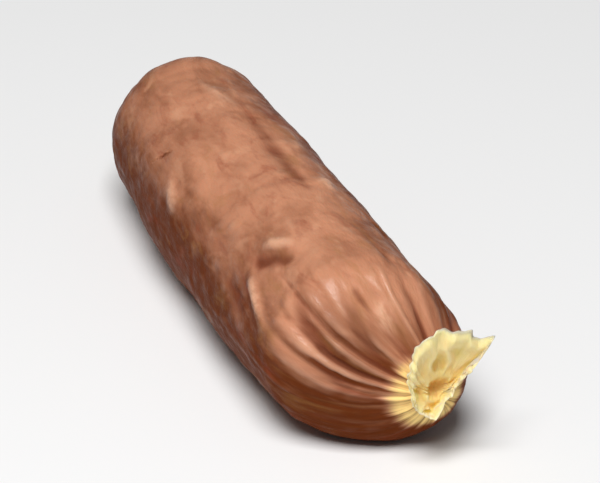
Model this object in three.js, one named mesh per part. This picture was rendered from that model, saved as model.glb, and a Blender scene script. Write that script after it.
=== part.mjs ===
// One dried sausage link in a natural casing: a slightly curved plump body whose casing is gathered
// into pleats at both ends and stands out there as a short frayed tail.
// Millimetres, +X from the plain end to the frayed end that shows, +Z up, resting on Z = 0.

import * as THREE from 'three';

// Body, in millimetres. A station is a distance along the curved centre line.
const FAR_RADIUS = 7.75;
const NEAR_RADIUS = 8.65;
const FAR_CENTRE = 7.2; // station of the centre of the far rounded end
const NEAR_CENTRE = 49.3; // station of the centre of the near rounded end
const NEAR_CAP_LENGTH = 8.3;
const SWELL_CURVE = 2; // above 1 the body widens mostly near its far end
const FLATTENING = 0.5; // by which the underside is pressed flat

// Centre line: a gentle curve in plan
const MIDDLE = 26;
const MIDDLE_HEADING = -0.043; // radians
const BEND_RATE = 0.0029; // radians a millimetre
const LINE_STEP = 0.25;

// The near neck sits off the middle of its rounded end: lower, and towards the inside of the curve
const NECK_SIDE = 3.95;
const NECK_RISE = -2;
const LEAN_CURVE = 1.6; // above 1 the rounded end leans mostly near its neck

// Casing tails at the two ends. Reach is measured from the neck, away from the body.
const NEAR_TAIL = { neckStation: 57.3, neckRadius: 1.6, rimRadius: 4.2, reach: 2.4, cup: 1.7, way: 1 };
const FAR_TAIL = { neckStation: -0.3, neckRadius: 1.2, rimRadius: 2, reach: 2.4, cup: 1.1, way: -1 };
const TAIL_WALL = 0.4;
const RIM_SIDE = 0.1; // offset of the near rim's middle from the middle of its neck
const RIM_RISE = 2.95;
const NECK_GAP = 0.06; // radians by which a rounded end stops short of its neck
const FLARE_CURVE = 1.4; // above 1 the tail widens mostly near its rim
const CUP_CURVE = 1.5; // above 1 the cup deepens mostly near its middle
const TOOTH_DENSITY = 3.2;
const TOOTH_LENGTH = 0.4;

// Shape of the near rim: cut straight on one side, flattened on the other, with torn points
const RIM_SQUEEZE = 0.12;
const RIM_CUTS = [
  { angle: -0.68, distance: 1.65 },
  { angle: 3.3, distance: 3.5 },
];
const SPIKES = [
  { angle: 0.58, upperSide: 0.12, lowerSide: 0.35, outward: 2.2, forward: 0.9 },
  { angle: 1.05, upperSide: 0.25, lowerSide: 0.12, outward: 0.7, forward: 0.4 },
  { angle: 2, upperSide: 0.3, lowerSide: 0.4, outward: 0.8, forward: 0 },
];

// Pleats that gather the casing into each tail. Evenness 1 would make them equally deep all round.
const NEAR_PLEATS = {
  count: 15, depth: 0.27, start: 46, end: 56.8, shift: 0.3, twist: 0.25, deepest: 1.9, evenness: 0.5,
};
const FAR_PLEATS = {
  count: 11, depth: 0.42, start: 8, end: 0, shift: 1.1, twist: -0.3, deepest: -1, evenness: 0.62,
};
const PLEAT_SPACING = [
  { sway: 0.22, turns: 2, phase: 0.7 },
  { sway: 0.09, turns: 5, phase: 0 },
];
const CREASE_ROUNDING = 0.02;
const PLEAT_MEAN = 0.66; // mean height of a pleat's wave
const PLEAT_SHARE = 0.16; // pleat depth never exceeds this share of the radius
const RIM_PLEATS = 0.45; // share of the pleats' depth that is left at a rim

// Relief of the dried skin
const DENT_LENGTH = 11;
const DENT_WIDTH = 6.6;
const DENT_DEPTH = 0.3;
const WRINKLE_LENGTH = 9;
const WRINKLE_WIDTH = 3.4;
const WRINKLE_DEPTH = 0.26;
const SEEDS = { dent: 59, wrinkle: 52, tooth: 5 };

// Creases, ridges and pits, each a stroke between two places on the skin: [station, angle]
const STROKES = [
  { name: 'cross crease', from: [41.7, 2.42], to: [46, 2.08], width: 0.9, height: -0.4 },
  { name: 'fold behind the crease', from: [41.2, 2.23], to: [44.5, 1.96], width: 0.8, height: 0.28 },
  { name: 'long side fold', from: [42.5, 2.52], to: [47.9, 2.82], width: 0.6, height: 0.38 },
  { name: 'hollow behind that fold', from: [39, 2.76], to: [44.5, 2.97], width: 1.1, height: -0.3 },
  { name: 'pit', from: [18.6, 2.48], to: [18.8, 2.5], width: 1, height: -0.4 },
  { name: 'thin ridge', from: [10.7, 1.6], to: [17.9, 1.44], width: 0.9, height: 0.22 },
  { name: 'long groove', from: [18.8, 1.35], to: [36.6, 1.4], width: 1, height: -0.35 },
  { name: 'side bump', from: [32.9, 1.09], to: [35.9, 1.17], width: 1, height: 0.35 },
  { name: 'side ridge', from: [22.5, 2.57], to: [26.4, 2.78], width: 0.9, height: 0.25 },
  { name: 'shoulder ridge', from: [53.9, 1.64], to: [55.6, 1.98], width: 0.7, height: 0.3 },
  { name: 'upper pleat crease', from: [53, 1.95], to: [56.8, 2.52], width: 0.6, height: -0.4 },
  { name: 'middle pleat crease', from: [50, 2.35], to: [56.5, 2.84], width: 0.7, height: -0.45 },
  { name: 'lower pleat crease', from: [53.3, 2.8], to: [55.8, 3.11], width: 0.7, height: -0.3 },
];
const STROKE_TAPER = 0.7; // share of its height that a stroke loses towards its ends

// Mesh fineness
const SEGMENTS = 72;
const BODY_RINGS = 34;
const FAR_CAP_RINGS = 10;
const NEAR_CAP_RINGS = 13;
const TAIL_RINGS = 4;
const CUP_RINGS = 3;

const TAU = Math.PI * 2;

function clamp(value, low, high) {
  return Math.min(high, Math.max(low, value));
}

function smoothstep(start, end, value) {
  const share = clamp((value - start) / (end - start), 0, 1);
  return share * share * (3 - 2 * share);
}

// Repeatable number from 0 to 1 for a whole-number place
function scatter(ix, iy, iz, seed) {
  let bits = Math.imul(ix, 73856093) ^ Math.imul(iy, 19349663) ^ Math.imul(iz, 83492791);
  bits ^= Math.imul(seed, 1540483477);
  bits ^= bits >>> 13;
  bits = Math.imul(bits, 1274126177);
  bits ^= bits >>> 16;
  return (bits >>> 0) / 4294967296;
}

// Smooth noise from -1 to 1 through space
function noise(x, y, z, seed) {
  const [ix, iy, iz] = [Math.floor(x), Math.floor(y), Math.floor(z)];
  const [u, v, w] = [smoothstep(0, 1, x - ix), smoothstep(0, 1, y - iy), smoothstep(0, 1, z - iz)];
  let sum = 0;
  for (const a of [0, 1]) {
    for (const b of [0, 1]) {
      for (const c of [0, 1]) {
        const weight = (a ? u : 1 - u) * (b ? v : 1 - v) * (c ? w : 1 - w);
        sum += weight * scatter(ix + a, iy + b, iz + c, seed);
      }
    }
  }
  return 2 * sum - 1;
}

// Noise on the skin, with its own grain length along the link and width around it
function skinNoise(station, angle, length, width, seed) {
  const across = NEAR_RADIUS / width;
  return noise(station / length, Math.cos(angle) * across, Math.sin(angle) * across, seed);
}

// Share of the near neck's offset that a ring has
function lean(station) {
  return clamp((station - NEAR_CENTRE) / (NEAR_TAIL.neckStation - NEAR_CENTRE), 0, 1) ** LEAN_CURVE;
}

// Share of the near rim's offset that a ring has
function rimLean(ring) {
  return ring.tail === NEAR_TAIL ? (ring.station - NEAR_TAIL.neckStation) / NEAR_TAIL.reach : 0;
}

function heading(station) {
  return MIDDLE_HEADING + BEND_RATE * (station - MIDDLE);
}

// Place and heading of the centre line at a station, summed in small steps from the middle
function centreLine(station) {
  const steps = Math.max(1, Math.ceil(Math.abs(station - MIDDLE) / LINE_STEP));
  const step = (station - MIDDLE) / steps;
  let [x, y] = [0, 0];
  for (let i = 0; i < steps; i += 1) {
    const angle = heading(MIDDLE + (i + 0.5) * step);
    x += Math.cos(angle) * step;
    y += Math.sin(angle) * step;
  }
  return { x, y, angle: heading(station) };
}

// Rings of a tail's outer wall from neck to rim, then of its cup from rim to the axis.
// Spread is the share in which a ring follows the shape of the rim.
function tailRings(tail) {
  const rings = [];
  for (let i = 0; i <= TAIL_RINGS; i += 1) {
    const flare = i / TAIL_RINGS;
    const station = tail.neckStation + tail.way * tail.reach * flare;
    const spread = flare ** FLARE_CURVE;
    const radius = tail.neckRadius + (tail.rimRadius - tail.neckRadius) * spread;
    rings.push({ station, radius, flare, spread, tail });
  }
  for (let i = 0; i <= CUP_RINGS; i += 1) {
    const inward = i / CUP_RINGS;
    const depth = tail.cup * Math.sin(inward * Math.PI * 0.5) ** CUP_CURVE;
    const station = tail.neckStation + tail.way * (tail.reach - depth);
    const spread = i === CUP_RINGS ? 0 : Math.cos(inward * Math.PI * 0.5);
    const radius = (tail.rimRadius - TAIL_WALL) * spread;
    rings.push({ station, radius, flare: 1 - inward, spread, tail });
  }
  return rings;
}

// Plain radius of the body, which holds its end values beyond the centres of its rounded ends
function bodyRadius(station) {
  const share = clamp((station - FAR_CENTRE) / (NEAR_CENTRE - FAR_CENTRE), 0, 1);
  return NEAR_RADIUS - (NEAR_RADIUS - FAR_RADIUS) * (1 - share) ** SWELL_CURVE;
}

// Rings of the body between the two necks
function bodyRings() {
  const rings = [];
  const farEnd = Math.acos(FAR_TAIL.neckRadius / FAR_RADIUS) - NECK_GAP;
  for (let i = 0; i < FAR_CAP_RINGS; i += 1) {
    const lift = farEnd * (1 - i / FAR_CAP_RINGS);
    const station = FAR_CENTRE - FAR_RADIUS * Math.sin(lift);
    rings.push({ station, radius: FAR_RADIUS * Math.cos(lift), flare: 0 });
  }
  for (let i = 0; i < BODY_RINGS; i += 1) {
    const station = FAR_CENTRE + ((NEAR_CENTRE - FAR_CENTRE) * i) / BODY_RINGS;
    rings.push({ station, radius: bodyRadius(station), flare: 0 });
  }
  const nearEnd = Math.acos(NEAR_TAIL.neckRadius / NEAR_RADIUS) - NECK_GAP;
  for (let i = 0; i < NEAR_CAP_RINGS; i += 1) {
    const lift = (nearEnd * i) / (NEAR_CAP_RINGS - 1);
    const station = NEAR_CENTRE + NEAR_CAP_LENGTH * Math.sin(lift);
    rings.push({ station, radius: NEAR_RADIUS * Math.cos(lift), flare: 0 });
  }
  return rings;
}

// Rounded bulges with sharp creases between them, unevenly spaced
function pleatWave(angle, pleats) {
  let uneven = angle - pleats.shift;
  for (const { sway, turns, phase } of PLEAT_SPACING) {
    uneven += sway * Math.sin(turns * angle + phase);
  }
  const wave = Math.sin((pleats.count * uneven) / 2);
  return Math.sqrt(wave * wave + CREASE_ROUNDING) - PLEAT_MEAN;
}

// How far the casing is gathered at a station, from 0 on the body to 1 at the neck
function gathering(station, pleats) {
  return smoothstep(pleats.start, pleats.end, station);
}

// The casing was wrung shut, so its pleats turn round the centre line towards each neck
function wringing(station) {
  return [NEAR_PLEATS, FAR_PLEATS]
    .map((pleats) => pleats.twist * gathering(station, pleats) ** 2)
    .reduce((sum, turn) => sum + turn, 0);
}

function pleatRelief(ring, angle, pleats) {
  const shareOfDepth = pleats.evenness + (1 - pleats.evenness) * Math.cos(angle - pleats.deepest);
  const depth = Math.min(pleats.depth, PLEAT_SHARE * ring.radius) * shareOfDepth;
  const straightened = angle - wringing(ring.station);
  return 2 * depth * gathering(ring.station, pleats) * pleatWave(straightened, pleats);
}

function pleating(ring, angle) {
  return pleatRelief(ring, angle, NEAR_PLEATS) + pleatRelief(ring, angle, FAR_PLEATS);
}

// Height that a stroke adds at a place, from its distance to the stroke's line
function strokeRelief(ring, angle, stroke) {
  const turn = angle - stroke.from[1];
  const around = (turn - TAU * Math.round(turn / TAU)) * ring.radius;
  const along = ring.station - stroke.from[0];
  const lineAlong = stroke.to[0] - stroke.from[0];
  const lineAround = (stroke.to[1] - stroke.from[1]) * ring.radius;
  const lengthSquared = lineAlong ** 2 + lineAround ** 2;
  const share = clamp((along * lineAlong + around * lineAround) / lengthSquared, 0, 1);
  const gap = Math.hypot(along - share * lineAlong, around - share * lineAround);
  const taper = 1 - STROKE_TAPER * (2 * share - 1) ** 2;
  return stroke.height * taper * Math.exp(-((gap / stroke.width) ** 2));
}

// Height of the dried skin over the plain body
function bodyRelief(ring, angle) {
  const { station, radius } = ring;
  const dent = DENT_DEPTH * skinNoise(station, angle, DENT_LENGTH, DENT_WIDTH, SEEDS.dent);
  const fold = skinNoise(station, angle, WRINKLE_LENGTH, WRINKLE_WIDTH, SEEDS.wrinkle);
  let relief = (dent + WRINKLE_DEPTH * fold) * (radius / NEAR_RADIUS) ** 2;
  for (const stroke of STROKES) {
    relief += strokeRelief(ring, angle, stroke);
  }
  return relief + pleating(ring, angle);
}

function spikeShare(angle, spike) {
  const around = 2 * Math.sin((angle - spike.angle) / 2);
  return Math.exp(-Math.abs(around) / (around > 0 ? spike.upperSide : spike.lowerSide));
}

function nearRimRadius(angle) {
  let radius = NEAR_TAIL.rimRadius * (1 - RIM_SQUEEZE * Math.cos(angle) ** 2);
  for (const spike of SPIKES) {
    radius += spike.outward * spikeShare(angle, spike);
  }
  for (const cut of RIM_CUTS) {
    const facing = Math.cos(angle - cut.angle);
    radius = facing > 0 ? Math.min(radius, cut.distance / facing) : radius;
  }
  return radius;
}

// Ragged, pleated tail: how far a rim point moves outward and forward
function tailRelief(ring, angle) {
  const { flare, spread, tail } = ring;
  const fullness = flare * flare;
  const across = Math.cos(angle) * TOOTH_DENSITY;
  const upward = Math.sin(angle) * TOOTH_DENSITY;
  let outward = pleating(ring, angle) * (1 - (1 - RIM_PLEATS) * flare);
  let forward = TOOTH_LENGTH * noise(across, upward, tail.neckStation, SEEDS.tooth) * fullness;
  if (tail === NEAR_TAIL) {
    outward += (nearRimRadius(angle) - tail.rimRadius) * spread;
    for (const spike of SPIKES) {
      forward += spike.forward * spikeShare(angle, spike) * fullness;
    }
  }
  return { outward, forward };
}

// Where the skin lies at a ring and an angle round the centre line, 0 at +Y and a quarter turn at +Z
function skinPoint(ring, angle) {
  let { radius, station } = ring;
  if (ring.tail && radius > 0) {
    const move = tailRelief(ring, angle);
    radius += move.outward;
    station += move.forward * ring.tail.way;
  } else if (radius > 0) {
    radius += bodyRelief(ring, angle);
  }
  const line = centreLine(station);
  const side = NECK_SIDE * lean(station) + RIM_SIDE * rimLean(ring) + radius * Math.cos(angle);
  const lift = NECK_RISE * lean(station) + RIM_RISE * rimLean(ring);
  const middleHeight = bodyRadius(station) - FLATTENING + lift;
  return new THREE.Vector3(
    line.x - side * Math.sin(line.angle),
    line.y + side * Math.cos(line.angle),
    Math.max(0, middleHeight + radius * Math.sin(angle)),
  );
}

// A turned body whose every point is then moved onto the skin
function sausageGeometry() {
  const rings = [...tailRings(FAR_TAIL).reverse(), ...bodyRings(), ...tailRings(NEAR_TAIL)];
  const profile = rings.map((ring) => new THREE.Vector2(ring.radius, ring.station));
  const geometry = new THREE.LatheGeometry(profile, SEGMENTS);
  const position = geometry.getAttribute('position');
  for (let i = 0; i < position.count; i += 1) {
    const ring = rings[i % rings.length];
    const turn = Math.floor(i / rings.length) % SEGMENTS;
    const point = skinPoint(ring, (turn * TAU) / SEGMENTS + wringing(ring.station));
    position.setXYZ(i, point.x, point.y, point.z);
  }
  geometry.computeVertexNormals();
  geometry.computeBoundingBox();
  const middle = geometry.boundingBox.getCenter(new THREE.Vector3());
  geometry.translate(-middle.x, -middle.y, 0);
  return geometry;
}

const casing = new THREE.MeshStandardMaterial({ color: 0xa8755a, roughness: 0.5, metalness: 0 });

const link = new THREE.Mesh(sausageGeometry(), casing);
link.name = 'sausage_link';

const group = new THREE.Group();
group.add(link);

export default group;
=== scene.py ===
# One dried sausage link in a wrinkled natural casing, with its finish, floor, light and camera.
# Its form comes from the same named sizes as the solid that it stands for, in millimetres. It then
# gets the finer folds, torn edges and colours of dried casing. The scene itself is in metres.

import math
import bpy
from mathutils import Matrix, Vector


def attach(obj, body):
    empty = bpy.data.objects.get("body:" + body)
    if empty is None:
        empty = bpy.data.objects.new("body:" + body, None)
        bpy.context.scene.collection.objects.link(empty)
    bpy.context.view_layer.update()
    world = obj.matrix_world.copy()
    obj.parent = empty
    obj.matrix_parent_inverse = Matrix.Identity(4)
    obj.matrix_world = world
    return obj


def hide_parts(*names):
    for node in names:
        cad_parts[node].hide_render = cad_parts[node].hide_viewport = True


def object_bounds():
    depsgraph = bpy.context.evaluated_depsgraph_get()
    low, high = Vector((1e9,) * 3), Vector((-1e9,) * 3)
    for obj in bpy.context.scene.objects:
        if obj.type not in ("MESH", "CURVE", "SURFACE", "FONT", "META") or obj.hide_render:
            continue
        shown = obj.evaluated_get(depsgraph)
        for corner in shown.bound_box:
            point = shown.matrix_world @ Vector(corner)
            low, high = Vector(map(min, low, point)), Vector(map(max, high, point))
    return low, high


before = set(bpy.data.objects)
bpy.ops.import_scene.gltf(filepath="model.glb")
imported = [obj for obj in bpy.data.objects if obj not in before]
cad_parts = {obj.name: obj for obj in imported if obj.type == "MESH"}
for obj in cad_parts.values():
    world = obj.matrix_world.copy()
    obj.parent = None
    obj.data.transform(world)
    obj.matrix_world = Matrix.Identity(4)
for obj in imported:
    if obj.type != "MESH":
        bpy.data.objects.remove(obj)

from types import SimpleNamespace

import bpy
import numpy as np
from mathutils import Matrix, Vector

CAD_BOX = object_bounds()
MM = 0.001
TAU = 2 * math.pi

# Body, in millimetres. A station is a distance along the curved centre line.
FAR_RADIUS = 7.75
NEAR_RADIUS = 8.65
FAR_CENTRE = 7.2  # station of the centre of the far rounded end
NEAR_CENTRE = 49.3  # station of the centre of the near rounded end
NEAR_CAP_LENGTH = 8.3
SWELL_CURVE = 2  # above 1 the body widens mostly near its far end
FLATTENING = 0.5  # by which the underside is pressed flat

# Centre line: a gentle curve in plan
MIDDLE = 26
MIDDLE_HEADING = -0.043  # radians
BEND_RATE = 0.0029  # radians a millimetre
LINE_STEP = 0.05
LINE_START = -6  # first and last station of the summed line, beyond both tails
LINE_END = 66

# The near neck sits off the middle of its rounded end: lower, and towards the inside of the curve
NECK_SIDE = 3.95
NECK_RISE = -2
LEAN_CURVE = 1.6  # above 1 the rounded end leans mostly near its neck

# Casing tails at the two ends. Reach is measured from the neck, away from the body.
NEAR_TAIL = SimpleNamespace(neck=57.3, neck_radius=1.6, rim_radius=4.2, reach=2.4, cup=1.7, way=1)
FAR_TAIL = SimpleNamespace(neck=-0.3, neck_radius=1.2, rim_radius=2, reach=2.4, cup=1.1, way=-1)
RIM_SIDE = 0.1  # offset of the near rim's middle from the middle of its neck
RIM_RISE = 2.95
NECK_GAP = 0.06  # radians by which a rounded end stops short of its neck
FLARE_CURVE = 1.4  # above 1 the tail widens mostly near its rim
CUP_CURVE = 1.5  # above 1 the cup deepens mostly near its middle
TOOTH_DENSITY = 3.2
TOOTH_LENGTH = 0.4

# Shape of the near rim: cut straight on one side, flattened on the other, with torn points
RIM_SQUEEZE = 0.12
RIM_CUTS = (SimpleNamespace(angle=-0.68, distance=1.65), SimpleNamespace(angle=3.3, distance=3.5))
SPIKES = (
    SimpleNamespace(angle=0.58, upper_side=0.12, lower_side=0.35, outward=2.2, forward=0.9),
    SimpleNamespace(angle=1.05, upper_side=0.25, lower_side=0.12, outward=0.7, forward=0.4),
    SimpleNamespace(angle=2, upper_side=0.3, lower_side=0.4, outward=0.8, forward=0),
)

# Pleats that gather the casing into each tail. Evenness 1 would make them equally deep all round.
NEAR_PLEATS = SimpleNamespace(
    count=15, depth=0.27, start=46, end=56.8, shift=0.3, twist=0.25, deepest=1.9, evenness=0.5
)
FAR_PLEATS = SimpleNamespace(
    count=11, depth=0.42, start=8, end=0, shift=1.1, twist=-0.3, deepest=-1, evenness=0.62
)
PLEAT_SPACING = (
    SimpleNamespace(sway=0.22, turns=2, phase=0.7),
    SimpleNamespace(sway=0.09, turns=5, phase=0),
)
CREASE_ROUNDING = 0.02
PLEAT_MEAN = 0.66  # mean height of a pleat's wave
PLEAT_SHARE = 0.16  # pleat depth never exceeds this share of the radius
RIM_PLEATS = 0.45  # share of the pleats' depth that is left at a rim

# Broad relief of the dried skin: grain length along the link, width around it, depth, seed
DENTS = SimpleNamespace(length=11, width=6.6, depth=0.3, seed=59)
WRINKLES = SimpleNamespace(length=9, width=3.4, depth=0.26, seed=52)
TOOTH_SEED = 5

# Creases, ridges and pits: start and end as (station, angle), width, height
STROKES = {
    "cross crease": ((41.7, 2.42), (46, 2.08), 0.9, -0.4),
    "fold behind the crease": ((41.2, 2.23), (44.5, 1.96), 0.8, 0.28),
    "long side fold": ((42.5, 2.52), (47.9, 2.82), 0.6, 0.38),
    "hollow behind that fold": ((39, 2.76), (44.5, 2.97), 1.1, -0.3),
    "pit": ((18.6, 2.48), (18.8, 2.5), 1, -0.4),
    "thin ridge": ((10.7, 1.6), (17.9, 1.44), 0.9, 0.22),
    "long groove": ((18.8, 1.35), (36.6, 1.4), 1, -0.35),
    "side bump": ((32.9, 1.09), (35.9, 1.17), 1, 0.35),
    "side ridge": ((22.5, 2.57), (26.4, 2.78), 0.9, 0.25),
    "shoulder ridge": ((53.9, 1.64), (55.6, 1.98), 0.7, 0.3),
    "upper pleat crease": ((53, 1.95), (56.8, 2.52), 0.6, -0.4),
    "middle pleat crease": ((50, 2.35), (56.5, 2.84), 0.7, -0.45),
    "lower pleat crease": ((53.3, 2.8), (55.8, 3.11), 0.7, -0.3),
}
STROKE_TAPER = 0.7  # share of its height that a stroke loses towards its ends

# Finer folds that only this mesh has. A pair of numbers is a range to draw from.
FINE_CREASES = (
    SimpleNamespace(length=6, width=1.9, depth=0.1, seed=31),
    SimpleNamespace(length=2.6, width=1.2, depth=0.05, seed=37),
    SimpleNamespace(length=1.7, width=3.2, depth=0.045, seed=41),
)
CREASE_WARP = 0.12  # radians by which the fine creases wander
CREASE_SOFTNESS = 0.002
CREASE_MEAN = 0.24  # mean height of a fine crease's wave
PATCHES = SimpleNamespace(length=12, width=7, mean=0.65, swing=0.5, seed=47)
MEAT_BULGES = SimpleNamespace(size=2.4, gap=0.55, depth=0.05, seed=67)
FINE_PLEATS = SimpleNamespace(
    count=44, depth=0.26, width=0.32, start=(44, 53), fade=3.5, jitter=0.35, seed=53
)
FINE_PLEAT_DEPTHS = (0.4, 1.1)
FINE_PLEAT_WIDTHS = (0.6, 1.3)
CRUMPLES = SimpleNamespace(size=0.9, depth=0.07, seed=59)
FLUTES = SimpleNamespace(count=31, sway=2, depth=0.06)
FINE_TEETH = SimpleNamespace(density=5, length=0.2, seed=61)

# The crumpled middle of the near tail: folds that fill its cup, and pockets left between them.
# Places are to the side of and above the middle of the rim.
FILL_HEIGHT = 0.6
FILL_FOLDS = SimpleNamespace(size=1.9, height=0.4, seed=97)
POCKETS = (
    SimpleNamespace(side=-0.2, up=2.45, half_width=0.6, half_height=0.5, depth=0.45),
    SimpleNamespace(side=-0.1, up=0.15, half_width=1.2, half_height=0.7, depth=0.3),
    SimpleNamespace(side=-1.5, up=-2.3, half_width=0.5, half_height=0.4, depth=0.4),
)
POCKET_LIP = SimpleNamespace(height=0.25, distance=1.5, width=0.4)
FILL_EDGE = 0.25  # share of the way inward from the rim at which the fill has its full height
PALE_DEPTHS = (-1.6, 0.1)  # heights in the cup at which its membrane is darkest, as painted shade, and palest

# Cream casing without meat behind it: ring radii on a rounded end where it starts and is full
NEAR_PULL = (5.4, 2.7)
FAR_PULL = (3.6, 1.5)

# Direction that the palest side of the skin faces, close to the key light's: painted light on that side,
# painted shade on the sides turned away
PAINTED_LIGHT_SIDE = np.array([0.4, -0.22, 0.89])

# Rounds of smoothing that tell narrow creases, and then broad hollows, from the skin round them
CREASE_BLUR = 14
HOLLOW_BLUR = 160

# Crumpled sheets inside the far tail: roots and rims as distance from the neck and radius
FRILL_WALL = 0.18
FRILL_ROWS = 22
FRILL_COLUMNS = 200
FRILL_CRUMPLE = 1.3  # depth of its crumples against those of the tail walls
FRILL_TEAR = 0.3  # share of its reach by which its edge is torn
FRILL_TEETH = ((4, 1), (11, 0.6))  # density and share of its coarse and fine teeth
FRILL_WAVE = SimpleNamespace(slow_sway=0.35, fast_sway=0.15, ripple=0.4, ripple_folds=2.3)
FRILL_LEAST_RADIUS = 0.05
FAR_FRILLS = (
    SimpleNamespace(root=(0.9, 0.9), rim=(2.3, 1.5), folds=7, sway=0.22, lean=0.15, seed=83),
    SimpleNamespace(root=(0.9, 0.3), rim=(2.1, 0.8), folds=5, sway=0.2, lean=-0.2, seed=89),
)

# Fineness of the solid, which says where its middle is, and of the mesh made here
SOLID_FINENESS = SimpleNamespace(segments=72, body=34, far_cap=10, near_cap=13, tail=4, cup=3, wall=0.4)
FINENESS = SimpleNamespace(segments=256, body=176, far_cap=40, near_cap=54, tail=16, cup=28, wall=0.22)


def smoothstep(start, end, value):
    share = np.clip((value - start) / (end - start), 0, 1)
    return share * share * (3 - 2 * share)


def scatter(ix, iy, iz, seed):
    """Repeatable numbers from 0 to 1 for whole-number places."""
    bits = ix * np.uint32(73856093) ^ iy * np.uint32(19349663) ^ iz * np.uint32(83492791)
    bits = bits ^ np.uint32(seed * 1540483477 % 2**32)
    bits = bits ^ (bits >> np.uint32(13))
    bits = bits * np.uint32(1274126177)
    bits = bits ^ (bits >> np.uint32(16))
    return bits / 2**32


def noise(x, y, z, seed):
    """Smooth noise from -1 to 1 through space."""
    spots = np.broadcast_arrays(x, y, z)
    cells = [np.floor(spot) for spot in spots]
    shares = [smoothstep(0, 1, spot - cell) for spot, cell in zip(spots, cells)]
    whole = [cell.astype(np.int64) for cell in cells]
    total = np.zeros(spots[0].shape)
    for corner in np.ndindex(2, 2, 2):
        weight = np.ones(total.shape)
        for share, side in zip(shares, corner):
            weight = weight * (share if side else 1 - share)
        places = [(cell + side).astype(np.uint32) for cell, side in zip(whole, corner)]
        total += weight * scatter(*places, seed)
    return 2 * total - 1


def skin_noise(station, angle, grain):
    """Noise on the skin with its own grain length along the link and width around it."""
    across = NEAR_RADIUS / grain.width
    return noise(station / grain.length, np.cos(angle) * across, np.sin(angle) * across, grain.seed)


def cell_walls(spots, seed):
    """How far each place is from a wall between scattered cells, about 0 to 1."""
    whole = [np.floor(spot).astype(np.int64) for spot in spots]
    nearest = np.full(spots[0].shape, np.inf)
    second = nearest.copy()
    for step in np.ndindex(3, 3, 3):
        places = [cell + move - 1 for cell, move in zip(whole, step)]
        keys = [cell.astype(np.uint32) for cell in places]
        centres = [cell + scatter(*keys, seed + axis) for axis, cell in enumerate(places)]
        gap = np.sqrt(sum((spot - centre) ** 2 for spot, centre in zip(spots, centres)))
        second = np.minimum(second, np.maximum(nearest, gap))
        nearest = np.minimum(nearest, gap)
    return second - nearest


def lean(station):
    """Share of the near neck's offset that a ring has."""
    return np.clip((station - NEAR_CENTRE) / (NEAR_TAIL.neck - NEAR_CENTRE), 0, 1) ** LEAN_CURVE


def body_radius(station):
    """Plain radius of the body, which holds its end values beyond the rounded ends' centres."""
    share = np.clip((station - FAR_CENTRE) / (NEAR_CENTRE - FAR_CENTRE), 0, 1)
    return NEAR_RADIUS - (NEAR_RADIUS - FAR_RADIUS) * (1 - share) ** SWELL_CURVE


def heading(station):
    return MIDDLE_HEADING + BEND_RATE * (station - MIDDLE)


def line_table():
    """The centre line in plan, summed in small steps, with its middle station at zero."""
    stations = np.arange(LINE_START, LINE_END, LINE_STEP)
    turns = heading(stations[:-1] + LINE_STEP / 2)
    x = np.concatenate([[0], np.cumsum(np.cos(turns) * LINE_STEP)])
    y = np.concatenate([[0], np.cumsum(np.sin(turns) * LINE_STEP)])
    x -= np.interp(MIDDLE, stations, x)
    y -= np.interp(MIDDLE, stations, y)
    return stations, x, y


LINE = line_table()


def place(station, radius, angle, rim_lean):
    """Points for places round the centre line: angle 0 is at +Y and a quarter turn at +Z."""
    stations, x, y = LINE
    turn = heading(station)
    side = NECK_SIDE * lean(station) + RIM_SIDE * rim_lean + radius * np.cos(angle)
    lift = NECK_RISE * lean(station) + RIM_RISE * rim_lean
    middle_height = body_radius(station) - FLATTENING + lift
    px = np.interp(station, stations, x) - side * np.sin(turn)
    py = np.interp(station, stations, y) + side * np.cos(turn)
    return np.stack([px, py, np.maximum(0, middle_height + radius * np.sin(angle))], axis=-1)


def ring_rows(station, radius, flare=0, spread=0, tail=0, cup=0):
    """One row a ring. Spread is the share in which it follows the shape of a rim.

    Tail is 1 in the near tail, -1 in the far tail and 0 in the body, and cup is 1 inside a cup.
    """
    return np.stack(np.broadcast_arrays(station, radius, flare, spread, tail, cup), axis=1)


def tail_rings(tail, fineness):
    """The rings of a tail's outer wall from neck to rim, then of its cup from rim to middle."""
    flare = np.linspace(0, 1, fineness.tail + 1)
    spread = flare**FLARE_CURVE
    station = tail.neck + tail.way * tail.reach * flare
    radius = tail.neck_radius + (tail.rim_radius - tail.neck_radius) * spread
    wall = ring_rows(station, radius, flare, spread, tail.way)
    inward = np.linspace(0, 1, fineness.cup + 1)
    spread = np.cos(inward * math.pi / 2)
    spread[-1] = 0
    depth = tail.cup * np.sin(inward * math.pi / 2) ** CUP_CURVE
    station = tail.neck + tail.way * (tail.reach - depth)
    radius = (tail.rim_radius - fineness.wall) * spread
    return np.concatenate([wall, ring_rows(station, radius, 1 - inward, spread, tail.way, 1)])


def body_rings(fineness):
    """The rings of the body between the two necks."""
    far_end = math.acos(FAR_TAIL.neck_radius / FAR_RADIUS) - NECK_GAP
    lift = far_end * (1 - np.arange(fineness.far_cap) / fineness.far_cap)
    far = ring_rows(FAR_CENTRE - FAR_RADIUS * np.sin(lift), FAR_RADIUS * np.cos(lift))
    station = FAR_CENTRE + (NEAR_CENTRE - FAR_CENTRE) * np.arange(fineness.body) / fineness.body
    middle = ring_rows(station, body_radius(station))
    near_end = math.acos(NEAR_TAIL.neck_radius / NEAR_RADIUS) - NECK_GAP
    lift = near_end * np.arange(fineness.near_cap) / (fineness.near_cap - 1)
    near = ring_rows(NEAR_CENTRE + NEAR_CAP_LENGTH * np.sin(lift), NEAR_RADIUS * np.cos(lift))
    return np.concatenate([far, middle, near])


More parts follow.
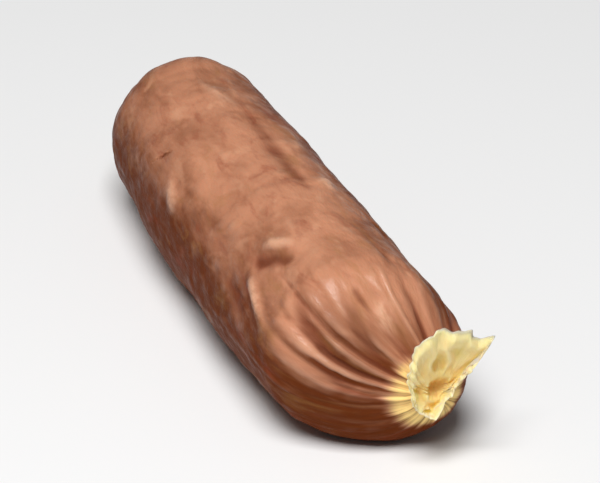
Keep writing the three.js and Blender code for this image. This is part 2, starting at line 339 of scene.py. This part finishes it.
def all_rings(fineness):
    """Every ring from the middle of the far cup to that of the near cup, one column each."""
    parts = [tail_rings(FAR_TAIL, fineness)[::-1], body_rings(fineness), tail_rings(NEAR_TAIL, fineness)]
    station, radius, flare, spread, tail, cup = np.concatenate(parts).T[:, :, None]
    rim_lean = np.where(tail > 0, (station - NEAR_TAIL.neck) / NEAR_TAIL.reach, 0)
    return SimpleNamespace(
        station=station, radius=radius, flare=flare, spread=spread, tail=tail, cup=cup, rim_lean=rim_lean
    )


def gathering(station, pleats):
    """How far the casing is gathered, from 0 on the body to 1 at the neck."""
    return smoothstep(pleats.start, pleats.end, station)


def wringing(station):
    """The casing was wrung shut, so its pleats turn round the centre line towards each neck."""
    return sum(pleats.twist * gathering(station, pleats) ** 2 for pleats in (NEAR_PLEATS, FAR_PLEATS))


def pleat_wave(angle, pleats):
    """Rounded bulges with sharp creases between them, unevenly spaced."""
    uneven = angle - pleats.shift
    for part in PLEAT_SPACING:
        uneven = uneven + part.sway * np.sin(part.turns * angle + part.phase)
    wave = np.sin(pleats.count * uneven / 2)
    return np.sqrt(wave * wave + CREASE_ROUNDING) - PLEAT_MEAN


def pleat_share(angle, pleats):
    """Share of their full depth that pleats have, which is 1 where they are deepest."""
    return pleats.evenness + (1 - pleats.evenness) * np.cos(angle - pleats.deepest)


def pleat_relief(rings, angle, pleats):
    depth = np.minimum(pleats.depth, PLEAT_SHARE * rings.radius) * pleat_share(angle, pleats)
    wave = pleat_wave(angle - wringing(rings.station), pleats)
    return 2 * depth * gathering(rings.station, pleats) * wave


def pleating(rings, angle):
    return pleat_relief(rings, angle, NEAR_PLEATS) + pleat_relief(rings, angle, FAR_PLEATS)


def stroke_relief(rings, angle, start, end, width, height):
    """Height that a crease or ridge adds, from the distance on the skin to its line."""
    turn = angle - start[1]
    around = (turn - TAU * np.round(turn / TAU)) * rings.radius
    along = rings.station - start[0]
    line_along = end[0] - start[0]
    line_around = (end[1] - start[1]) * rings.radius
    length_squared = line_along**2 + line_around**2
    share = np.clip((along * line_along + around * line_around) / length_squared, 0, 1)
    gap = np.hypot(along - share * line_along, around - share * line_around)
    taper = 1 - STROKE_TAPER * (2 * share - 1) ** 2
    return height * taper * np.exp(-((gap / width) ** 2))


def fold_relief(rings, angle):
    """Height of all the single creases, ridges and pits."""
    return sum(stroke_relief(rings, angle, *stroke) for stroke in STROKES.values())


def body_relief(rings, angle):
    """Height of the dried skin over the plain body, as in the solid."""
    relief = DENTS.depth * skin_noise(rings.station, angle, DENTS)
    relief = relief + WRINKLES.depth * skin_noise(rings.station, angle, WRINKLES)
    relief = relief * (rings.radius / NEAR_RADIUS) ** 2
    return relief + fold_relief(rings, angle) + pleating(rings, angle)


def spike_share(angle, spike):
    """How much of a torn point there is at an angle, 1 at its tip."""
    around = 2 * np.sin((angle - spike.angle) / 2)
    return np.exp(-np.abs(around) / np.where(around > 0, spike.upper_side, spike.lower_side))


def near_rim_radius(angle):
    """Shape of the near rim before its fine teeth."""
    radius = NEAR_TAIL.rim_radius * (1 - RIM_SQUEEZE * np.cos(angle) ** 2)
    for spike in SPIKES:
        radius = radius + spike.outward * spike_share(angle, spike)
    for cut in RIM_CUTS:
        facing = np.maximum(1e-6, np.cos(angle - cut.angle))
        radius = np.minimum(radius, cut.distance / facing)
    return radius


def tail_relief(rings, angle):
    """Ragged, pleated tails: how far a rim point moves outward and forward."""
    fullness = rings.flare**2
    near = rings.tail > 0
    neck = np.where(near, NEAR_TAIL.neck, FAR_TAIL.neck)
    teeth = noise(np.cos(angle) * TOOTH_DENSITY, np.sin(angle) * TOOTH_DENSITY, neck, TOOTH_SEED)
    forward = TOOTH_LENGTH * teeth * fullness
    outward = near * (near_rim_radius(angle) - NEAR_TAIL.rim_radius) * rings.spread
    outward = outward + pleating(rings, angle) * (1 - (1 - RIM_PLEATS) * rings.flare)
    for spike in SPIKES:
        forward = forward + near * spike.forward * spike_share(angle, spike) * fullness
    return outward, forward


def skin_form(fineness):
    """The solid's form on a grid of rings and turns, before the finer folds."""
    rings = all_rings(fineness)
    turns = np.arange(fineness.segments) * TAU / fineness.segments
    angle = turns[None, :] + wringing(rings.station)
    body = (rings.tail == 0) & (rings.radius > 0)
    tail = (rings.tail != 0) & (rings.radius > 0)
    relief = np.where(body, body_relief(rings, angle), 0)
    outward, forward = tail_relief(rings, angle)
    radius = rings.radius + relief + np.where(tail, outward, 0)
    station = rings.station + np.where(tail, forward * rings.tail, 0)
    return SimpleNamespace(rings=rings, angle=angle, relief=relief, radius=radius, station=station)


def solid_middle():
    """Middle of the solid's box in plan, which the row frame has at its origin."""
    form = skin_form(SOLID_FINENESS)
    points = place(form.station, form.radius, form.angle, form.rings.rim_lean).reshape(-1, 3)
    middle = (points.min(axis=0) + points.max(axis=0)) / 2
    return np.array([middle[0], middle[1], 0])


SHIFT = solid_middle()


def fine_body_relief(rings, angle):
    """Finer creases of the dried skin, deeper in some patches than in others."""
    patches = PATCHES.mean + PATCHES.swing * skin_noise(rings.station, angle, PATCHES)
    relief = np.zeros(angle.shape)
    warp = CREASE_WARP * skin_noise(rings.station, angle, FINE_CREASES[0])
    for crease in FINE_CREASES:
        wave = np.sqrt(skin_noise(rings.station, angle + warp, crease) ** 2 + CREASE_SOFTNESS)
        relief += crease.depth * (wave - CREASE_MEAN) * 2
    return relief * patches * rings.radius / NEAR_RADIUS


def fine_pleats(rings, angle):
    """Narrow creases that run into the near neck, each starting at its own station."""
    draw = np.random.default_rng(FINE_PLEATS.seed)
    straightened = angle - wringing(rings.station)
    relief = np.zeros(angle.shape)
    for i in range(FINE_PLEATS.count):
        middle = (i + draw.uniform(-FINE_PLEATS.jitter, FINE_PLEATS.jitter)) * TAU / FINE_PLEATS.count
        start = draw.uniform(*FINE_PLEATS.start)
        depth = FINE_PLEATS.depth * draw.uniform(*FINE_PLEAT_DEPTHS)
        turn = straightened - middle
        gap = (turn - TAU * np.round(turn / TAU)) * rings.radius
        width = FINE_PLEATS.width * draw.uniform(*FINE_PLEAT_WIDTHS)
        fade = smoothstep(start, start + FINE_PLEATS.fade, rings.station)
        relief -= depth * fade * np.exp(-((gap / width) ** 2))
    return relief * pleat_share(angle, NEAR_PLEATS)


def grid_normals(points):
    """Unit normals of a grid that closes around its second axis."""
    along = np.gradient(points, axis=0)
    around = np.roll(points, -1, axis=1) - np.roll(points, 1, axis=1)
    normals = np.cross(around, along)
    return normals / np.maximum(np.linalg.norm(normals, axis=2, keepdims=True), 1e-9)


def blurred(field, passes):
    """A grid's numbers smoothed with their neighbours, round after round."""
    for _ in range(passes):
        field = (np.roll(field, 1, axis=1) + field + np.roll(field, -1, axis=1)) / 3
        padded = np.pad(field, ((1, 1), (0, 0)), mode="edge")
        field = (padded[:-2] + padded[1:-1] + padded[2:]) / 3
    return field


def grid_faces(rows, columns, first=0, wrap_rows=False):
    """Quads of a grid of points that closes around its columns, and around its rows if asked."""
    row = np.arange(rows if wrap_rows else rows - 1)[:, None]
    column = np.arange(columns)[None, :]
    next_row = (row + 1) % rows
    next_column = (column + 1) % columns
    corners = (
        row * columns + column,
        row * columns + next_column,
        next_row * columns + next_column,
        next_row * columns + column,
    )
    return first + np.stack(corners, axis=-1).reshape(-1, 4)


def build_piece(name, points, faces, attributes, materials, material_of_face=None):
    """A smooth mesh object from points in millimetres, with its own numbers at each point."""
    mesh = bpy.data.meshes.new(name)
    mesh.from_pydata(((points - SHIFT) * MM).tolist(), [], [list(face) for face in faces])
    for label, values in attributes.items():
        kind = "FLOAT_VECTOR" if values.ndim == 2 else "FLOAT"
        layer = mesh.attributes.new(label, kind, "POINT")
        field = "vector" if values.ndim == 2 else "value"
        layer.data.foreach_set(field, values.astype(np.float32).ravel())
    mesh.shade_smooth()
    for material in materials:
        mesh.materials.append(material)
    if material_of_face is not None:
        mesh.polygons.foreach_set("material_index", material_of_face)
    piece = bpy.data.objects.new(name, mesh)
    bpy.context.scene.collection.objects.link(piece)
    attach(piece, "root")
    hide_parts("sausage_link")
    return piece


def at_points(field):
    """A grid's numbers in the order of a mesh whose first and last rows are one point each."""
    ends = np.stack([field[0, 0], field[-1, 0]])
    return np.concatenate([field[1:-1].reshape((-1,) + field.shape[2:]), ends])


def capped_faces(rows, columns):
    """Quads of a closed grid of rows, then two fans from its end rows to the two end points."""
    faces = grid_faces(rows, columns)[:, ::-1].tolist()
    first_end = rows * columns
    last_row = first_end - columns
    for i in range(columns):
        after = (i + 1) % columns
        faces.append([first_end, i, after])
        faces.append([first_end + 1, last_row + after, last_row + i])
    return faces


def crumpled_fill(rings, angle, spots):
    """How far the near cup's crumpled membrane stands forward of the plain cup."""
    side, up = rings.radius * np.cos(angle), rings.radius * np.sin(angle)
    folds = 1 - 2 * np.abs(noise(*(spots / FILL_FOLDS.size), FILL_FOLDS.seed))
    rise = FILL_HEIGHT + FILL_FOLDS.height * (folds - 0.5)
    for pocket in POCKETS:
        gap = np.hypot((side - pocket.side) / pocket.half_width, (up - pocket.up) / pocket.half_height)
        lip = POCKET_LIP.height * np.exp(-(((gap - POCKET_LIP.distance) / POCKET_LIP.width) ** 2))
        rise = rise + lip - pocket.depth * np.exp(-(gap**2))
    return rise * smoothstep(0, FILL_EDGE, 1 - rings.flare) * (rings.tail > 0) * (rings.cup > 0)


def plain_skin(form):
    """Points of the solid's form with the tails' narrow flutes and fine torn teeth."""
    rings, angle = form.rings, form.angle
    tail = (rings.tail != 0) & (rings.radius > 0)
    uneven = FLUTES.count * angle + FLUTES.sway * np.sin(3 * angle)
    flutes = FLUTES.depth * np.sin(uneven) * rings.flare
    across = np.cos(angle) * FINE_TEETH.density
    upward = np.sin(angle) * FINE_TEETH.density
    teeth = FINE_TEETH.length * noise(across, upward, rings.tail, FINE_TEETH.seed) * rings.flare**3
    radius = form.radius + np.where(tail, flutes, 0)
    station = form.station + np.where(tail, teeth * rings.tail, 0)
    return place(station, radius, angle, rings.rim_lean)


def folded_skin(form):
    """The plain skin moved by every finer fold, with the numbers that its colours need."""
    rings, angle = form.rings, form.angle
    body = rings.tail == 0
    tail = ~body & (rings.radius > 0)
    plain = plain_skin(form)
    spots = np.moveaxis(plain, 2, 0)
    walls = cell_walls(spots / MEAT_BULGES.size, MEAT_BULGES.seed)
    bulges = MEAT_BULGES.depth * (smoothstep(0, MEAT_BULGES.gap, walls) - 0.5)
    fine = fine_body_relief(rings, angle) + fine_pleats(rings, angle) + bulges
    crumple = CRUMPLES.depth * noise(*(spots / CRUMPLES.size), CRUMPLES.seed)
    fill = crumpled_fill(rings, angle, spots)
    normals = grid_normals(plain)
    points = plain + normals * (fine * body + crumple * tail)[:, :, None]
    points[:, :, 0] += fill
    points[:, :, 2] = np.maximum(0, points[:, :, 2])
    return SimpleNamespace(points=points, normals=normals, height=form.relief + fine, fill=fill)


def skin_attributes(form, skin):
    """Numbers at each point of the skin that its material turns into colour and sheen."""
    rings, angle, height = form.rings, form.angle, skin.height
    body = rings.tail == 0
    near_cup = (rings.tail > 0) & (rings.cup > 0)
    everywhere = np.ones(angle.shape)
    near_pull = smoothstep(*NEAR_PULL, rings.radius) * (rings.station > NEAR_CENTRE)
    far_pull = smoothstep(*FAR_PULL, rings.radius) * (rings.station < FAR_CENTRE)
    cup_height = skin.fill - NEAR_TAIL.cup * (1 - rings.flare)
    straightened = angle - wringing(rings.station)
    cylinder = (rings.station, NEAR_RADIUS * np.cos(straightened), NEAR_RADIUS * np.sin(straightened))
    fields = {
        "crease": (blurred(height, CREASE_BLUR) - height) * body,
        "hollow": (blurred(height, HOLLOW_BLUR) - height) * body,
        "fold": fold_relief(rings, angle) * body,
        "pull": np.maximum(near_pull, far_pull) * everywhere,
        # painted light and shade: how far each point faces the lit side
        "painted_lighting": skin.normals @ (PAINTED_LIGHT_SIDE / np.linalg.norm(PAINTED_LIGHT_SIDE)),
        # in the near cup, painted shade: the deeper the membrane, the darker
        "rim": np.where(near_cup, smoothstep(*PALE_DEPTHS, cup_height), rings.flare * everywhere),
        "skin_place": np.stack(np.broadcast_arrays(*cylinder), axis=-1),
    }
    return {label: at_points(field) for label, field in fields.items()}


def skin_piece(casing, membrane):
    """The whole casing over the meat, from the far tail's cup to the near tail's cup."""
    form = skin_form(FINENESS)
    skin = folded_skin(form)
    columns = FINENESS.segments
    faces = capped_faces(len(skin.points) - 2, columns)
    tail = form.rings.tail[:, 0] != 0
    of_quads = np.repeat((tail[1:-2] & tail[2:-1]).astype(np.int32), columns)
    of_ends = np.ones(len(faces) - len(of_quads), np.int32)
    of_faces = np.concatenate([of_quads, of_ends])
    points = at_points(skin.points)
    attributes = skin_attributes(form, skin)
    return build_piece("sausage_skin", points, faces, attributes, [casing, membrane], of_faces)


def frill_middle(frill, share, angle):
    """The middle of one crumpled, torn sheet, from its root at share 0 to its edge at 1."""
    across, upward = np.cos(angle), np.sin(angle)
    uneven = angle + FRILL_WAVE.slow_sway * np.sin(2 * angle + frill.seed)
    uneven = uneven + FRILL_WAVE.fast_sway * np.sin(5 * angle)
    ripple = np.sin(FRILL_WAVE.ripple_folds * frill.folds * np.sin(uneven))
    wave = np.sin(frill.folds * uneven) + FRILL_WAVE.ripple * ripple
    torn = sum(
        height * noise(across * density, upward * density, layer, frill.seed)
        for layer, (density, height) in enumerate(FRILL_TEETH)
    )
    reach = frill.rim[0] - frill.root[0]
    radius = frill.root[1] + (frill.rim[1] - frill.root[1]) * share + frill.sway * wave * share
    radius = np.maximum(FRILL_LEAST_RADIUS, radius * (1 + frill.lean * np.cos(angle - frill.seed)))
    forward = frill.root[0] + reach * share + FRILL_TEAR * reach * torn * share**2
    return place(FAR_TAIL.neck - forward, radius, angle, 0)


def frill_shell(frill):
    """Points of a sheet with its two faces, and how far up the sheet each point is."""
    share = np.linspace(0, 1, FRILL_ROWS)[:, None]
    angle = (np.arange(FRILL_COLUMNS) * TAU / FRILL_COLUMNS)[None, :]
    middle = frill_middle(frill, share, angle)
    spots = np.moveaxis(middle, 2, 0) / CRUMPLES.size
    crumple = CRUMPLES.depth * FRILL_CRUMPLE * noise(*spots, frill.seed) * share
    middle = middle + grid_normals(middle) * crumple[:, :, None]
    half_wall = grid_normals(middle) * FRILL_WALL / 2
    shell = np.concatenate([middle + half_wall, (middle - half_wall)[::-1]])
    return shell, np.concatenate([share, share[::-1]]) * np.ones(angle.shape)


def frill_piece(membrane):
    """The crumpled sheets inside the far tail, as one mesh of closed shells."""
    points, rims, faces = [], [], []
    for frill in FAR_FRILLS:
        shell, share = frill_shell(frill)
        first = sum(len(part) for part in points)
        faces += grid_faces(2 * FRILL_ROWS, FRILL_COLUMNS, first, wrap_rows=True).tolist()
        points.append(shell.reshape(-1, 3))
        rims.append(share.ravel())
    points = np.concatenate(points)
    attributes = {"rim": np.concatenate(rims), "skin_place": points}
    return build_piece("far_frill", points, faces, attributes, [membrane])


def srgb(red, green, blue):
    """A linear colour from its 8-bit screen values."""
    shares = [value / 255 for value in (red, green, blue)]
    return tuple(s / 12.92 if s <= 0.04045 else ((s + 0.055) / 1.055) ** 2.4 for s in shares) + (1,)


# Colours of the casing over the meat, then of the casing with no meat behind it
# The first two are painted shade and painted light of one skin: dark brown on the sides turned from the
# light, tan on the lit side
SHADED_SIDE_BROWN = srgb(104, 50, 22)
LIT_SIDE_TAN = srgb(195, 135, 104)
# Red-brown patches, also the painted shade of broad hollows
RED_BROWN_AND_HOLLOW_SHADE = srgb(136, 66, 46)
OLIVE = srgb(156, 108, 64)
# Pale fat seen through the casing, also a painted highlight on raised skin and ridges
FAT_AND_PAINTED_HIGHLIGHT = srgb(222, 166, 132)
PINK = srgb(232, 182, 150)
# Painted shade in creases and grooves
CREASE_SHADE_BROWN = srgb(92, 48, 28)
CREAM = srgb(255, 222, 146)
PALE = srgb(255, 226, 168)
# Straw, also painted shade deep inside the near cup
STRAW = srgb(242, 208, 128)


class Nodes:
    """Short calls for building one material's node tree."""

    def __init__(self, name):
        self.material = bpy.data.materials.new(name)
        self.material.use_nodes = True
        self.tree = self.material.node_tree
        self.shader = self.tree.nodes["Principled BSDF"]

    def put(self, socket, value):
        if isinstance(value, bpy.types.NodeSocket):
            self.tree.links.new(value, socket)
        else:
            socket.default_value = value

    def add(self, kind, inputs, **settings):
        node = self.tree.nodes.new(kind)
        for name, value in settings.items():
            setattr(node, name, value)
        for key, value in inputs.items():
            self.put(node.inputs[key], value)
        return node

    def attribute(self, name, output="Fac"):
        return self.add("ShaderNodeAttribute", {}, attribute_name=name).outputs[output]

    def maths(self, operation, first, second=0.0):
        return self.add("ShaderNodeMath", {0: first, 1: second}, operation=operation).outputs[0]

    def span(self, value, low, high, to_low=0.0, to_high=1.0):
        inputs = {"Value": value, "From Min": low, "From Max": high, "To Min": to_low, "To Max": to_high}
        return self.add("ShaderNodeMapRange", inputs, interpolation_type="SMOOTHSTEP").outputs[0]

    def stretched(self, vector, scale):
        return self.add("ShaderNodeMapping", {"Vector": vector, "Scale": scale}).outputs[0]

    def noise(self, vector, scale, detail=2.0, roughness=0.5, distortion=0.0):
        inputs = {
            "Vector": vector,
            "Scale": scale,
            "Detail": detail,
            "Roughness": roughness,
            "Distortion": distortion,
        }
        return self.add("ShaderNodeTexNoise", inputs).outputs[0]

    def mix(self, share, first, second):
        """A blend of two colours, which are this node's inputs 6 and 7 and its output 2."""
        node = self.add("ShaderNodeMix", {}, data_type="RGBA")
        self.put(node.inputs[0], share)
        self.put(node.inputs[6], first)
        self.put(node.inputs[7], second)
        return node.outputs[2]

    def bump(self, height, strength, distance):
        inputs = {"Height": height, "Strength": strength, "Distance": distance}
        return self.add("ShaderNodeBump", inputs).outputs[0]

    def shade(self, values):
        """Sets or links the shader's own inputs."""
        for name, value in values.items():
            self.put(self.shader.inputs[name], value)


def mottled_skin(nodes, spot, painted_lighting, lit_share):
    """Brown to tan by painted light and shade, with red and olive patches and soft pale marbling."""
    # painted light and shade: tan where the skin faces the light, brown where it faces away
    colour = nodes.mix(nodes.span(painted_lighting, 0.32, 1.03), SHADED_SIDE_BROWN, LIT_SIDE_TAN)
    redness = nodes.noise(nodes.stretched(spot, (0.45, 1, 1)), 0.42, 4, 0.6, 0.6)
    colour = nodes.mix(nodes.span(redness, 0.54, 0.74, 0, 0.5), colour, RED_BROWN_AND_HOLLOW_SHADE)
    colour = nodes.mix(nodes.span(redness, 0.46, 0.28, 0, 0.4), colour, OLIVE)
    marbling = nodes.noise(nodes.stretched(spot, (0.6, 1, 1)), 0.55, 2, 0.5, 0.3)
    # the pale marbling fades on the shaded sides, with the painted shade
    lit_side_marbling = nodes.maths("MULTIPLY", nodes.span(marbling, 0.54, 0.78, 0, 0.42), lit_share)
    return nodes.mix(lit_side_marbling, colour, FAT_AND_PAINTED_HIGHLIGHT)


def folded_colour(nodes, spot, crease, lit_share, colour):
    """Painted shade in hollows and creases, paler on what stands up, painted highlights on the single
    folds and ridges.
    """
    hollow = nodes.attribute("hollow")
    fold = nodes.attribute("fold")
    # painted shade in the broad hollows, and paler skin on the broad rises
    colour = nodes.mix(nodes.span(hollow, 0.02, 0.42, 0, 0.75), colour, RED_BROWN_AND_HOLLOW_SHADE)
    colour = nodes.mix(nodes.span(hollow, -0.03, -0.55, 0, 0.42), colour, FAT_AND_PAINTED_HIGHLIGHT)
    # painted shade in the single creases and grooves
    colour = nodes.mix(nodes.span(fold, -0.08, -0.35, 0, 0.3), colour, CREASE_SHADE_BROWN)
    # the raised single folds turn pink in patches: painted highlight, and partly dried casing lifted off
    # the meat
    fold_breakup = nodes.span(nodes.noise(nodes.stretched(spot, (0.7, 1, 1)), 1.1, 3, 0.6), 0.36, 0.62, 0, 0.55)
    lifted_fold_highlight = nodes.maths("MULTIPLY", nodes.span(fold, 0.03, 0.34), fold_breakup)
    colour = nodes.mix(lifted_fold_highlight, colour, PINK)
    # painted shade in the narrow creases
    colour = nodes.mix(nodes.span(crease, 0.02, 0.22, 0, 0.55), colour, CREASE_SHADE_BROWN)
    # painted highlight on the narrow ridges, on the lit side only
    painted_ridge_highlight = nodes.maths("MULTIPLY", nodes.span(crease, -0.03, -0.24, 0, 0.5), lit_share)
    return nodes.mix(painted_ridge_highlight, colour, FAT_AND_PAINTED_HIGHLIGHT)


def pulled_colour(nodes, spot, crease, colour):
    """Cream streaks along the pleats where the casing leaves the meat."""
    pull = nodes.attribute("pull")
    streaks = nodes.noise(nodes.stretched(spot, (0.1, 1, 1)), 0.9, 3, 0.6)
    streaks = nodes.maths("ADD", streaks, nodes.span(crease, 0.08, -0.12, -0.1, 0.2))
    pulled = nodes.span(nodes.maths("MULTIPLY", pull, streaks), 0.18, 0.62)
    return nodes.mix(pulled, colour, nodes.mix(nodes.span(pull, 0.5, 1), FAT_AND_PAINTED_HIGHLIGHT, CREAM))


def skin_bump(nodes, spot):
    """Grain and the very finest folds, too small for the mesh."""
    grain = nodes.noise(nodes.stretched(spot, (0.6, 1, 1)), 2.2, 4, 0.6)
    folds = nodes.noise(nodes.stretched(spot, (0.5, 1, 1)), 0.8, 3, 0.55)
    folds = nodes.maths("ABSOLUTE", nodes.maths("SUBTRACT", folds, 0.5))
    height = nodes.maths("ADD", nodes.maths("MULTIPLY", grain, 0.4), nodes.maths("MULTIPLY", folds, 1.5))
    return nodes.bump(height, 0.3, 0.5 * MM)


def casing_material():
    """Brown casing drawn tight over dried meat, paler where it is gathered into a tail."""
    nodes = Nodes("sausage_casing")
    spot = nodes.attribute("skin_place", "Vector")
    crease = nodes.attribute("crease")
    broad = nodes.noise(nodes.stretched(spot, (0.6, 1, 1)), 0.22, 4, 0.6, 0.4)
    # painted light: how far the skin faces the lit side, with broad noise; its lit share also keeps pale
    # marks and sheen off the shaded sides
    painted_lighting = nodes.maths("ADD", nodes.attribute("painted_lighting"), nodes.span(broad, 0.3, 0.7, -0.16, 0.16))
    lit_share = nodes.span(painted_lighting, 0.1, 0.9, 0.18, 1)
    colour = mottled_skin(nodes, spot, painted_lighting, lit_share)
    colour = folded_colour(nodes, spot, crease, lit_share, colour)
    nodes.shade({
        "Base Color": pulled_colour(nodes, spot, crease, colour),
        "Normal": skin_bump(nodes, spot),
        "Roughness": nodes.span(nodes.noise(spot, 0.9, 3), 0.3, 0.7, 0.31, 0.46),
        "Specular IOR Level": nodes.maths("MULTIPLY", nodes.span(crease, 0, -0.14, 0.04, 0.55), lit_share),
        "Subsurface Weight": 0.1,
        "Subsurface Radius": (1, 0.4, 0.25),
        "Subsurface Scale": 0.9 * MM,
    })
    return nodes.material


def membrane_material():
    """Dried casing with no meat behind it: cream, palest at its torn rim and straw deep inside as
    painted shade.
    """
    nodes = Nodes("dried_membrane")
    spot = nodes.attribute("skin_place", "Vector")
    rim = nodes.attribute("rim")
    mottle = nodes.noise(spot, 0.8, 3, 0.6)
    # straw deep in the cup as painted shade, cream towards the rim
    colour = nodes.mix(nodes.span(rim, 0, 0.6), STRAW, CREAM)
    colour = nodes.mix(nodes.span(mottle, 0.45, 0.75, 0, 0.3), colour, STRAW)
    colour = nodes.mix(nodes.span(rim, 0.7, 1, 0, 0.8), colour, PALE)
    fibres = nodes.noise(spot, 3, 3, 0.6)
    nodes.shade({
        "Base Color": colour,
        "Normal": nodes.bump(fibres, 0.4, 0.4 * MM),
        "Roughness": 0.55,
        "Specular IOR Level": 0.25,
        "Subsurface Weight": 0.8,
        "Subsurface Radius": (1, 0.85, 0.6),
        "Subsurface Scale": 0.8 * MM,
    })
    return nodes.material


def floor_material():
    nodes = Nodes("floor")
    nodes.shade({"Base Color": srgb(238, 238, 238), "Roughness": 0.7})
    return nodes.material


# Camera at the photograph's viewing angle, drawn nearer so that the link fills the frame
AZIMUTH = 67.5
ELEVATION = 29
CAMERA_DISTANCE = 0.62
SENSOR_WIDTH = 36
IMAGE_WIDTH = 600
PHOTO_SCALE = 0.42 * MM
ZOOM = 4.6
LINK_CENTRE_PIXEL = (245.8, 284.8)
FRAME_CENTRE_PIXEL = (253, 286.5)

# Soft light, world and floor, in metres and watts
KEY_LIGHT = SimpleNamespace(azimuth=56, elevation=64, distance=0.6, size=0.3, power=4.2)
WORLD_STRENGTH = 0.1
FLOOR_REACH = 3


def view_axes(azimuth, elevation):
    """Rightward, upward and backward directions of a view of the link."""
    turn, lift = math.radians(azimuth), math.radians(elevation)
    back = Vector((math.sin(turn) * math.cos(lift), -math.cos(turn) * math.cos(lift), math.sin(lift)))
    right = Vector((math.cos(turn), math.sin(turn), 0))
    return right, back.cross(right), back


def view_matrix(axes, eye):
    """Where a camera or lamp stands and which way it faces."""
    return Matrix.Translation(eye) @ Matrix(axes).transposed().to_4x4()


def add_camera():
    right, up, back = view_axes(AZIMUTH, ELEVATION)
    low, high = CAD_BOX
    rightward = (FRAME_CENTRE_PIXEL[0] - LINK_CENTRE_PIXEL[0]) * PHOTO_SCALE
    downward = (FRAME_CENTRE_PIXEL[1] - LINK_CENTRE_PIXEL[1]) * PHOTO_SCALE
    aim = (low + high) / 2 + right * rightward - up * downward
    data = bpy.data.cameras.new("camera")
    data.sensor_width = SENSOR_WIDTH
    data.lens = SENSOR_WIDTH * CAMERA_DISTANCE * ZOOM / (PHOTO_SCALE * IMAGE_WIDTH)
    data.clip_start = 0.05
    data.clip_end = 20
    camera = bpy.data.objects.new("camera", data)
    camera.matrix_world = view_matrix((right, up, back), aim + back * CAMERA_DISTANCE)
    bpy.context.scene.collection.objects.link(camera)
    bpy.context.scene.camera = camera


def add_key_light():
    """A soft square light that faces the link from a direction given as for the camera."""
    right, up, back = view_axes(KEY_LIGHT.azimuth, KEY_LIGHT.elevation)
    data = bpy.data.lights.new("key", "AREA")
    data.shape = "SQUARE"
    data.size = KEY_LIGHT.size
    data.energy = KEY_LIGHT.power
    lamp = bpy.data.objects.new("key", data)
    lamp.matrix_world = view_matrix((right, up, back), back * KEY_LIGHT.distance)
    bpy.context.scene.collection.objects.link(lamp)


def add_floor():
    """A plain pale floor under the link."""
    mesh = bpy.data.meshes.new("floor")
    corners = [(x * FLOOR_REACH, y * FLOOR_REACH, 0) for x, y in ((-1, -1), (1, -1), (1, 1), (-1, 1))]
    mesh.from_pydata(corners, [], [(0, 1, 2, 3)])
    floor = bpy.data.objects.new("floor", mesh)
    floor.data.materials.append(floor_material())
    bpy.context.scene.collection.objects.link(floor)


def add_world():
    """A dim white surround, and screen colours kept as they are."""
    world = bpy.data.worlds.new("world")
    world.use_nodes = True
    background = world.node_tree.nodes["Background"]
    background.inputs["Color"].default_value = (1, 1, 1, 1)
    background.inputs["Strength"].default_value = WORLD_STRENGTH
    bpy.context.scene.world = world
    bpy.context.scene.view_settings.view_transform = "Standard"


casing = casing_material()
membrane = membrane_material()
skin_piece(casing, membrane)
frill_piece(membrane)
add_floor()
add_key_light()
add_world()
add_camera()
